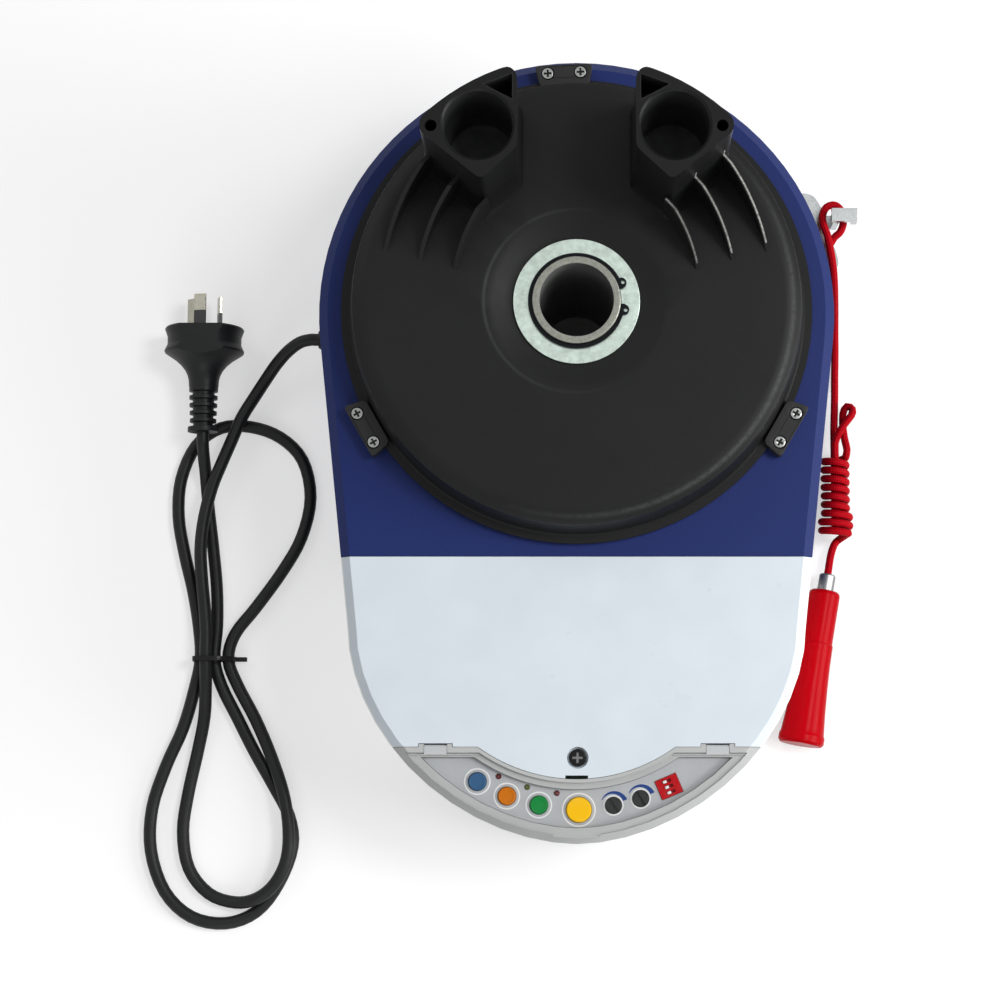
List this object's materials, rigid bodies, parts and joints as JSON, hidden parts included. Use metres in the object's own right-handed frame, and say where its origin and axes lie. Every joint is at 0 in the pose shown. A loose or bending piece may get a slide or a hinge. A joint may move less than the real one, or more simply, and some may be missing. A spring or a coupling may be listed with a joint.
{
  "type": "roller door opener",
  "caption": "Roller door opener: flat housing with a turning drive drum on a hollow hub, two fork sockets, a control panel under a clear flap, a pull cord and a mains cord.",
  "frame": {"origin": "on the axle's axis, in the plane of the housing's back", "axes": "+Z along the axle from the back towards the drive drum, +Y to the housing's round end, +X to the pull cord's side"},
  "size_m": [0.3753, 0.4347, 0.194],
  "materials": {
    "zinc_plate": "zinc plated",
    "tube_steel": "turned, slightly dull",
    "zinc_bright": "bright zinc",
    "spring_steel": "oiled black",
    "blue_paint": "fine textured powder coat",
    "cover_white": "smooth, faintly blue white",
    "black_screw": "black",
    "panel_grey": "printed label plate",
    "clear_flap": "clear moulded plastic",
    "blue_key": "satin",
    "orange_key": "satin",
    "green_key": "satin",
    "yellow_key": "satin",
    "black_knob": "satin",
    "red_lens": "tinted lens",
    "green_lens": "tinted lens",
    "switch_red": "smooth",
    "switch_white": "smooth",
    "board_green": "solder mask",
    "black_part": "moulded",
    "drum_black": "fine grained moulding",
    "clip_black": "moulded",
    "bush_plastic": "acetal",
    "ring_steel": "machined",
    "bronze": "sintered",
    "wheel_plastic": "nylon",
    "cast_case": "die cast",
    "motor_steel": "rolled",
    "lamp_glass": "clear bulb",
    "screw_zinc": "zinc",
    "red_rope": "braided",
    "ferrule_metal": "pressed",
    "handle_red": "smooth",
    "cord_black": "smooth sheath",
    "tie_black": "smooth",
    "plug_black": "moulded",
    "pin_brass": "plated"
  },
  "bodies": {
    "housing": {"rear_plate": "zinc_plate", "weld_nuts": "zinc_plate", "hub_flange": "zinc_plate", "hub_tube": "tube_steel", "hub_washer": "zinc_bright", "circlip": "spring_steel", "steel_shell": "blue_paint", "light_cover": "cover_white", "cover_screw": "black_screw", "cover_pillar": "zinc_plate", "fascia_frame": "cover_white", "fascia_panel": "panel_grey", "leds_red": "red_lens", "led_green": "green_lens", "dip_body": "switch_red", "main_board": "board_green", "board_switches": "black_part", "board_relays": "black_part", "shaft_bearing": "bronze", "gearbox_case": "cast_case", "gearbox_lid": "cast_case", "motor_can": "motor_steel", "transformer": "motor_steel", "transformer_coil": "black_part", "lamp_holder": "zinc_plate", "lamp_bulbs": "lamp_glass", "cord_gland": "clip_black", "rim_clips": "clip_black", "clip_screws": "screw_zinc", "mains_cord": "cord_black", "cord_hank": "cord_black", "cord_tie": "tie_black", "mains_plug": "plug_black", "plug_pins": "pin_brass"},
    "drum": {"drive_drum": "drum_black", "ring_gear": "ring_steel", "drum_bush": "bush_plastic"},
    "pinion": {"drive_pinion": "ring_steel"},
    "collar": {"clutch_collar": "ring_steel"},
    "wheel": {"worm_wheel": "wheel_plastic"},
    "worm": {"worm_shaft": "ring_steel"},
    "flap": {"panel_flap": "clear_flap"},
    "key_blue": {"button_blue": "blue_key"},
    "key_orange": {"button_orange": "orange_key"},
    "key_green": {"button_green": "green_key"},
    "key_yellow": {"button_yellow": "yellow_key"},
    "knob_left": {"trim_left": "black_knob"},
    "knob_right": {"trim_right": "black_knob"},
    "switch_1": {"slider_1": "switch_white"},
    "switch_2": {"slider_2": "switch_white"},
    "switch_3": {"slider_3": "switch_white"},
    "lever": {"release_lever": "zinc_bright", "release_shaft": "zinc_plate"},
    "pull": {"pull_rope": "red_rope", "rope_hank": "red_rope", "rope_ferrule": "ferrule_metal", "pull_handle": "handle_red"}
  },
  "joints": [
    {"name": "drum_spin", "type": "hinge", "parent": "housing", "child": "drum", "pos_m": [0, 0, 0.12], "axis": [0, 0, 1], "continuous": true},
    {"name": "pinion_spin", "type": "hinge", "parent": "housing", "child": "pinion", "pos_m": [0.0815, 0.02032, 0.11], "axis": [0, 0, 1], "continuous": true},
    {"name": "wheel_spin", "type": "hinge", "parent": "housing", "child": "wheel", "pos_m": [0.0815, 0.02032, 0.04], "axis": [0, 0, 1], "continuous": true},
    {"name": "worm_spin", "type": "hinge", "parent": "housing", "child": "worm", "pos_m": [0.04951, 0.02032, 0.04], "axis": [0, 1, 0], "continuous": true},
    {"name": "collar_lift", "type": "slide", "parent": "pinion", "child": "collar", "axis": [0, 0, 1], "range_m": [0, 0.004]},
    {"name": "lever_swing", "type": "hinge", "parent": "housing", "child": "lever", "pos_m": [0.09, 0.066, 0.03], "axis": [0, 0, 1], "range_deg": [-12, 0], "stiffness_Nm_per_rad": 0.5},
    {"name": "cord_pull", "type": "slide", "parent": "housing", "child": "pull", "axis": [0, -1, 0], "range_m": [0, 0.01032]},
    {"name": "flap_swing", "type": "hinge", "parent": "housing", "child": "flap", "pos_m": [0, -0.2154, 0.1064], "axis": [-1, 0, 0], "range_deg": [0, 105]},
    {"name": "press_blue", "type": "slide", "parent": "housing", "child": "key_blue", "axis": [0, 0, -1], "range_m": [0, 0.001], "stiffness_N_per_m": 300},
    {"name": "press_orange", "type": "slide", "parent": "housing", "child": "key_orange", "axis": [0, 0, -1], "range_m": [0, 0.001], "stiffness_N_per_m": 300},
    {"name": "press_green", "type": "slide", "parent": "housing", "child": "key_green", "axis": [0, 0, -1], "range_m": [0, 0.001], "stiffness_N_per_m": 300},
    {"name": "press_yellow", "type": "slide", "parent": "housing", "child": "key_yellow", "axis": [0, 0, -1], "range_m": [0, 0.001], "stiffness_N_per_m": 300},
    {"name": "turn_left", "type": "hinge", "parent": "housing", "child": "knob_left", "pos_m": [0.0179, -0.243, 0.1], "axis": [0, 0, 1], "range_deg": [-135, 135]},
    {"name": "turn_right", "type": "hinge", "parent": "housing", "child": "knob_right", "pos_m": [0.0311, -0.2397, 0.1], "axis": [0, 0, 1], "range_deg": [-135, 135]},
    {"name": "slide_1", "type": "slide", "parent": "housing", "child": "switch_1", "axis": [0.9205, 0.3907, 0], "range_m": [0, 0.002]},
    {"name": "slide_2", "type": "slide", "parent": "housing", "child": "switch_2", "axis": [0.9205, 0.3907, 0], "range_m": [0, 0.002]},
    {"name": "slide_3", "type": "slide", "parent": "housing", "child": "switch_3", "axis": [0.9205, 0.3907, 0], "range_m": [0, 0.002]}
  ],
  "couplings": [
    {"joint": "pinion_spin", "follows": "drum_spin", "ratio": 8},
    {"joint": "wheel_spin", "follows": "drum_spin", "ratio": 8},
    {"joint": "worm_spin", "follows": "drum_spin", "ratio": 240},
    {"joint": "collar_lift", "follows": "lever_swing", "m_per_rad": -0.019},
    {"joint": "cord_pull", "follows": "lever_swing", "m_per_rad": -0.0492}
  ]
}
